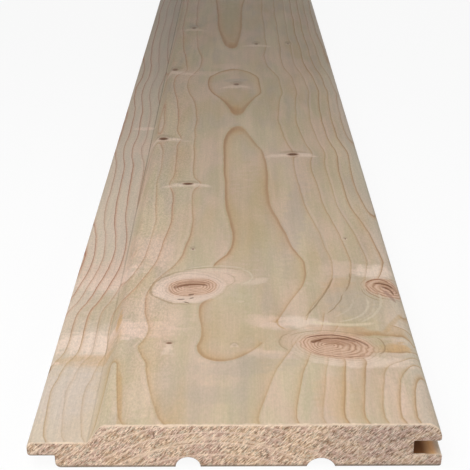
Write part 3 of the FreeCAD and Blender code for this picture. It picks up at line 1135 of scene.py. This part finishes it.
def join_ends(recipe, place, planed, sawn):
    """Sawn wood on the ends, a ragged rim of painted highlight along the upper arrises and of painted
    shade along the lower ones, grey painted shade on faces that turn sideways, and how much a point is
    end.
    """
    from_end = HALF_MM - abs(place["y"])
    is_end = from_end.fade(0.3, 0.15)
    facing = recipe.add("ShaderNodeNewGeometry", {}, output="Normal")
    aside, _, turned = recipe.parts(facing)
    edge_wobble = recipe.noise(place["here"], (2.2, 60, 2.2), detail=3)
    near = (from_end + edge_wobble * 0.8).fade(1.25, 0.8)
    # Painted highlight along the upper arrises, painted shade along the lower ones.
    upper = near * turned.fade(0.1, 0.35)
    lower = near * turned.fade(-0.1, -0.4)
    # Painted shade: faces that turn sideways are greyed.
    planed = planed.mix(aside.fade(0.6, 0.95, 0, 0.4), SIDE_SHADE)
    colour = planed.mix(is_end, sawn)
    colour = colour.mix(upper * edge_wobble.fade(0.3, 0.6, 0.9, 0.45), END_PALE_AND_HIGHLIGHT)
    return colour.mix(lower * 0.85, ARRIS_SHADE), is_end


def make_wood():
    """The whole material: planed wood on the sides, sawn wood on the ends."""
    material = bpy.data.materials.new("spruce")
    material.use_nodes = True
    recipe = Recipe(material.node_tree)
    shader = material.node_tree.nodes["Principled BSDF"]
    place = wood_place(recipe)
    swirl = recipe.noise(place["here"], (5, 3, 5), detail=3) - 0.5
    planed = add_patches(recipe, place, wood_tint(recipe, place), swirl, PATCHES)
    squeezed = squeezed_rings(place)
    planed, phase = add_ring_lines(recipe, place, planed, ring_age(recipe, place), squeezed)
    planed = add_knots(recipe, place, planed, swirl)
    planed = add_strokes(recipe, place, planed, swirl)
    height, shade = fibre(recipe, place)
    grey = recipe.add("ShaderNodeCombineColor", {0: shade, 1: shade, 2: shade})
    planed = planed.mix(1.0, grey, blend="MULTIPLY")
    planed = shade_corner(recipe, place, shade_groove(recipe, place, planed))
    sawn, rough = end_grain(recipe, place, phase)
    colour, is_end = join_ends(recipe, place, planed, sawn)
    recipe.feed(shader.inputs["Base Color"], colour)
    shader.inputs["Roughness"].default_value = WOOD_ROUGHNESS
    shader.inputs["Specular IOR Level"].default_value = WOOD_SHINE
    relief = rough * is_end + height * 0.25
    bump = recipe.add("ShaderNodeBump", {"Height": relief, "Distance": RELIEF_DEPTH, "Strength": 1.0})
    recipe.feed(shader.inputs["Normal"], bump)
    print("nodes in the wood", len(recipe.tree.nodes))
    return material


board.data.materials.append(make_wood())

# %% [markdown]
# The floor and the background are paper white. They show their own white only to the
# camera and in reflections, where a strength of 1 is white, so none of it lights the
# board, and the floor still keeps the board's soft shadow.

# %% Floor
FLOOR_SIZE = 6.0
PAPER_WHITE = (0.95, 0.95, 0.95, 1)
PAPER_SHARE = 0.92


def seen_directly(recipe):
    """1 for the camera and in reflections, 0 for the light that falls on things."""
    seen = 0.0
    for ray in ("Is Camera Ray", "Is Glossy Ray", "Is Transmission Ray"):
        seen = recipe.add("ShaderNodeLightPath", {}, output=ray).math("MAXIMUM", seen)
    return seen


bm = bmesh.new()
bmesh.ops.create_grid(bm, x_segments=1, y_segments=1, size=FLOOR_SIZE / 2)
floor = finish_mesh(bm, "floor")
paper = bpy.data.materials.new("white_floor")
paper.use_nodes = True
recipe = Recipe(paper.node_tree)
lit = paper.node_tree.nodes["Principled BSDF"]
lit.inputs["Base Color"].default_value = PAPER_WHITE
lit.inputs["Roughness"].default_value = 0.9
lit.inputs["Specular IOR Level"].default_value = 0.1
own_light = recipe.add("ShaderNodeEmission", {"Strength": 1.0})
shares = {0: seen_directly(recipe) * PAPER_SHARE, 1: Result(recipe, lit.outputs[0]), 2: own_light}
surface = recipe.add("ShaderNodeMixShader", shares)
recipe.feed(paper.node_tree.nodes["Material Output"].inputs["Surface"], surface)
floor.data.materials.append(paper)

# %% [markdown]
# The main softbox hangs over the front end, so the light falls off towards the far end
# as it does in the photograph. A second one in front lights the sawn end and a third the
# nose. Beyond the photograph's reach, one behind lights the far end and the grooved edge,
# a small one hangs over the far end, and the room adds the rest.

# %% Light
ROOM_STRENGTH = 0.065


def softbox(name, place, aim, wide, high, watts):
    """A rectangular light at a place, turned towards the point it is aimed at."""
    light = bpy.data.lights.new(name, "AREA")
    light.shape = "RECTANGLE"
    light.size = wide
    light.size_y = high
    light.energy = watts
    lamp = bpy.data.objects.new(name, light)
    lamp.location = place
    lamp.rotation_euler = (Vector(aim) - Vector(place)).to_track_quat("-Z", "Y").to_euler()
    bpy.context.scene.collection.objects.link(lamp)
    print(name, "hangs", round((Vector(aim) - Vector(place)).length, 2), "m away")


softbox("over_front_end", (-0.12, -0.56, 0.44), (0.02, -0.45, 0), 0.5, 0.36, 1.84)
softbox("before_front_end", (-0.5, -1.6, 0.42), (0, -0.5, 0), 0.7, 0.5, 5.5)
softbox("beside_the_nose", (0.8, -0.8, 0.4), (0.06, -0.4, 0), 0.4, 0.4, 2.5)
softbox("behind", (1.0, 1.3, 0.45), (0, 0.5, 0), 0.8, 0.8, 1.9)
softbox("over_far_end", (0.05, 0.64, 0.24), (0.05, 0.6, 0), 0.3, 0.2, 0.16)

world = bpy.data.worlds.new("studio")
world.use_nodes = True
recipe = Recipe(world.node_tree)
sky = world.node_tree.nodes["Background"]
sky.inputs["Color"].default_value = (1, 1, 1, 1)
recipe.feed(sky.inputs["Strength"], seen_directly(recipe) * (1 - ROOM_STRENGTH) + ROOM_STRENGTH)
bpy.context.scene.world = world

# %% [markdown]
# The picture is shown as it is rendered, with no film look over it.

# %% Finish
bpy.context.scene.view_settings.view_transform = "Standard"
